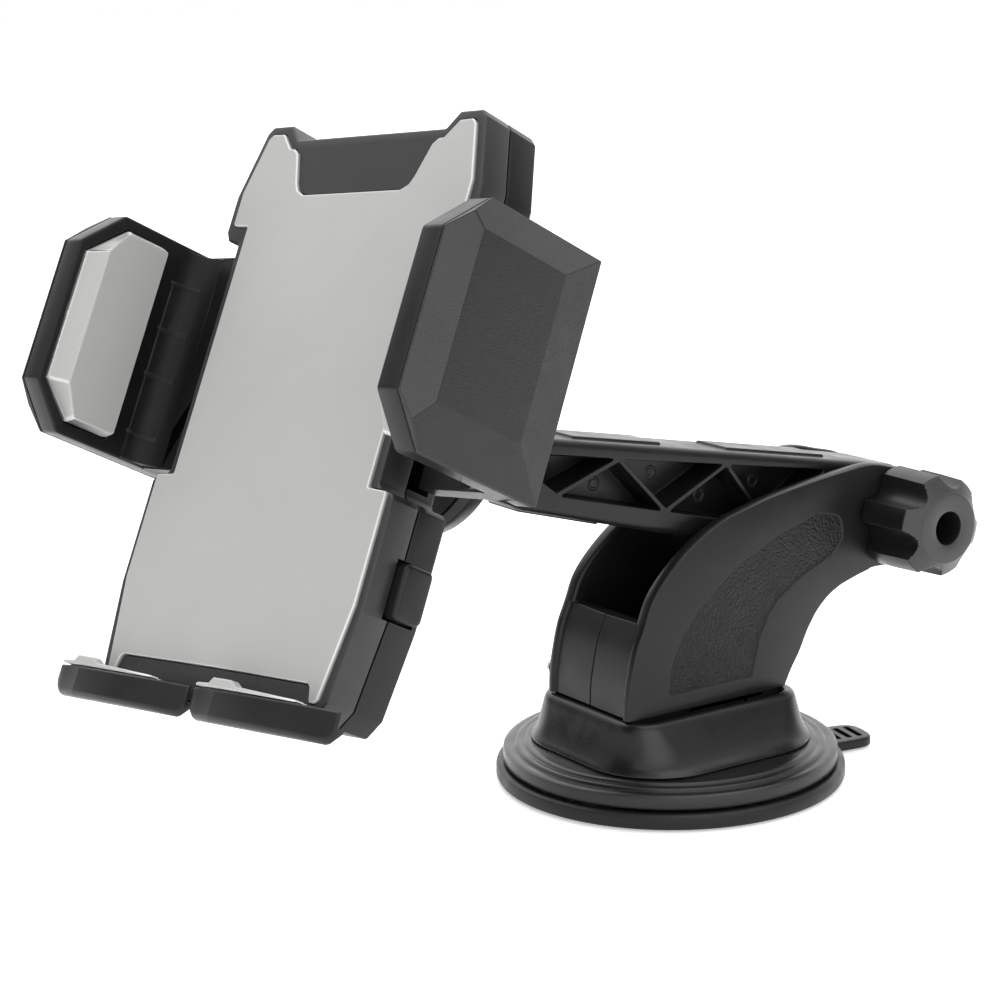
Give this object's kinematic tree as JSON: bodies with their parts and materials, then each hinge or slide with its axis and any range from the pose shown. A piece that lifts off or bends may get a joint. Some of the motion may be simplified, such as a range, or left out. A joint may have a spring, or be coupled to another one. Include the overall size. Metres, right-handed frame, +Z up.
{
  "type": "dashboard phone mount",
  "caption": "Dashboard phone mount: suction base with hollow neck, tilting ribbed arm and a spring-jaw phone cradle on a ball joint.",
  "frame": {"origin": "centre of the suction pad's flat underside", "axes": "+Z up out of the pad, -Y towards the driver and the phone side, +X towards the clamp knob"},
  "size_m": [0.1213, 0.1977, 0.1479],
  "materials": {
    "black_plastic": "moulded matte black with a fine grain",
    "cover_plastic": "moulded matte black, faceted, fine spark grain",
    "soft_black": "soft black elastomer with a slight sheen",
    "grey_pad": "soft light grey rubber",
    "steel": "plain machined steel",
    "brass": "turned brass",
    "nylon": "natural white nylon"
  },
  "bodies": {
    "base": {"suction_pad": "soft_black", "base_cup": "black_plastic", "base_collar": "black_plastic", "cup_screw_front": "steel", "cup_screw_rear": "steel", "lever_pin": "steel", "neck_left_half": "black_plastic", "neck_right_half": "black_plastic", "neck_foot_screw_left": "steel", "neck_foot_screw_right": "steel", "neck_screw_lower": "steel", "neck_screw_middle": "steel", "neck_screw_upper": "steel", "pivot_bolt": "steel", "friction_washer_left": "nylon", "friction_washer_right": "nylon"},
    "lever": {"lock_lever": "black_plastic"},
    "stem": {"pad_stem": "steel"},
    "knob": {"pivot_knob": "black_plastic", "knob_insert": "brass"},
    "arm": {"arm_beam": "black_plastic", "ball_stud": "steel"},
    "ball_tilt": {"ball_liner_inner": "nylon"},
    "ball_pan": {"ball_liner_outer": "nylon"},
    "cradle": {"socket_housing": "black_plastic", "front_shell": "black_plastic", "rear_shell": "black_plastic", "face_pad": "grey_pad", "shell_screw_1": "steel", "shell_screw_2": "steel", "shell_screw_3": "steel", "shell_screw_4": "steel", "pinion_post": "steel", "jaw_spring": "steel", "left_button_spring": "steel", "right_button_spring": "steel"},
    "nut": {"ball_nut": "black_plastic"},
    "left_jaw": {"left_jaw_frame": "black_plastic", "left_jaw_cover": "cover_plastic", "left_jaw_pad": "grey_pad"},
    "right_jaw": {"right_jaw_frame": "black_plastic", "right_jaw_cover": "cover_plastic", "right_jaw_pad": "grey_pad"},
    "pinion": {"pinion_gear": "nylon"},
    "left_button": {"left_release_button": "black_plastic"},
    "right_button": {"right_release_button": "black_plastic"},
    "left_foot": {"left_foot": "black_plastic", "left_foot_pad": "grey_pad"},
    "right_foot": {"right_foot": "black_plastic", "right_foot_pad": "grey_pad"}
  },
  "joints": [
    {"name": "lever_swing", "type": "hinge", "parent": "base", "child": "lever", "pos_m": [-0.0205, 0, 0.0116], "axis": [0, 1, 0], "range_deg": [0, 80]},
    {"name": "pad_lift", "type": "slide", "parent": "base", "child": "stem", "axis": [0, 0, 1], "range_m": [-0.0012, 0]},
    {"name": "knob_turn", "type": "hinge", "parent": "base", "child": "knob", "pos_m": [0, 0.053, 0.0523], "axis": [1, 0, 0], "continuous": true},
    {"name": "arm_tilt", "type": "hinge", "parent": "base", "child": "arm", "pos_m": [0, 0.053, 0.0523], "axis": [-1, 0, 0], "range_deg": [-8, 90]},
    {"name": "cradle_tilt", "type": "hinge", "parent": "arm", "child": "ball_tilt", "pos_m": [0, -0.05458, 0.07551], "axis": [0.979, 0.181, 0.0939], "range_deg": [-5, 32]},
    {"name": "cradle_pan", "type": "hinge", "parent": "ball_tilt", "child": "ball_pan", "pos_m": [0, -0.05458, 0.07551], "axis": [-0.1666, 0.445, 0.8799], "range_deg": [-26, 7]},
    {"name": "cradle_turn", "type": "hinge", "parent": "ball_pan", "child": "cradle", "pos_m": [0, -0.05458, 0.07551], "axis": [-0.1175, 0.8771, -0.4658], "range_deg": [-90, 90]},
    {"name": "nut_turn", "type": "hinge", "parent": "cradle", "child": "nut", "pos_m": [0, -0.05458, 0.07551], "axis": [-0.1175, 0.8771, -0.4658], "range_deg": [-90, 90]},
    {"name": "left_jaw_slide", "type": "slide", "parent": "cradle", "child": "left_jaw", "axis": [0.979, 0.181, 0.0939], "range_m": [0, 0.015]},
    {"name": "right_jaw_slide", "type": "slide", "parent": "cradle", "child": "right_jaw", "axis": [-0.979, -0.181, -0.0939], "range_m": [0, 0.015]},
    {"name": "pinion_spin", "type": "hinge", "parent": "cradle", "child": "pinion", "pos_m": [0.00268, -0.08102, 0.09848], "axis": [-0.1175, 0.8771, -0.4658], "range_deg": [0, 191.5], "deforming": ["jaw_spring"]},
    {"name": "left_button_press", "type": "slide", "parent": "cradle", "child": "left_button", "axis": [0.979, 0.181, 0.0939], "range_m": [0, 0.0016], "stiffness_N_per_m": 400, "deforming": ["left_button_spring"]},
    {"name": "right_button_press", "type": "slide", "parent": "cradle", "child": "right_button", "axis": [-0.979, -0.181, -0.0939], "range_m": [0, 0.0016], "stiffness_N_per_m": 400, "deforming": ["right_button_spring"]},
    {"name": "left_foot_slide", "type": "slide", "parent": "cradle", "child": "left_foot", "axis": [0.1666, -0.445, -0.8799], "range_m": [0, 0.012]},
    {"name": "right_foot_slide", "type": "slide", "parent": "cradle", "child": "right_foot", "axis": [0.1666, -0.445, -0.8799], "range_m": [0, 0.012]}
  ],
  "couplings": [
    {"joint": "right_jaw_slide", "follows": "left_jaw_slide", "ratio": 1},
    {"joint": "pinion_spin", "follows": "left_jaw_slide", "rad_per_m": 222.22}
  ]
}
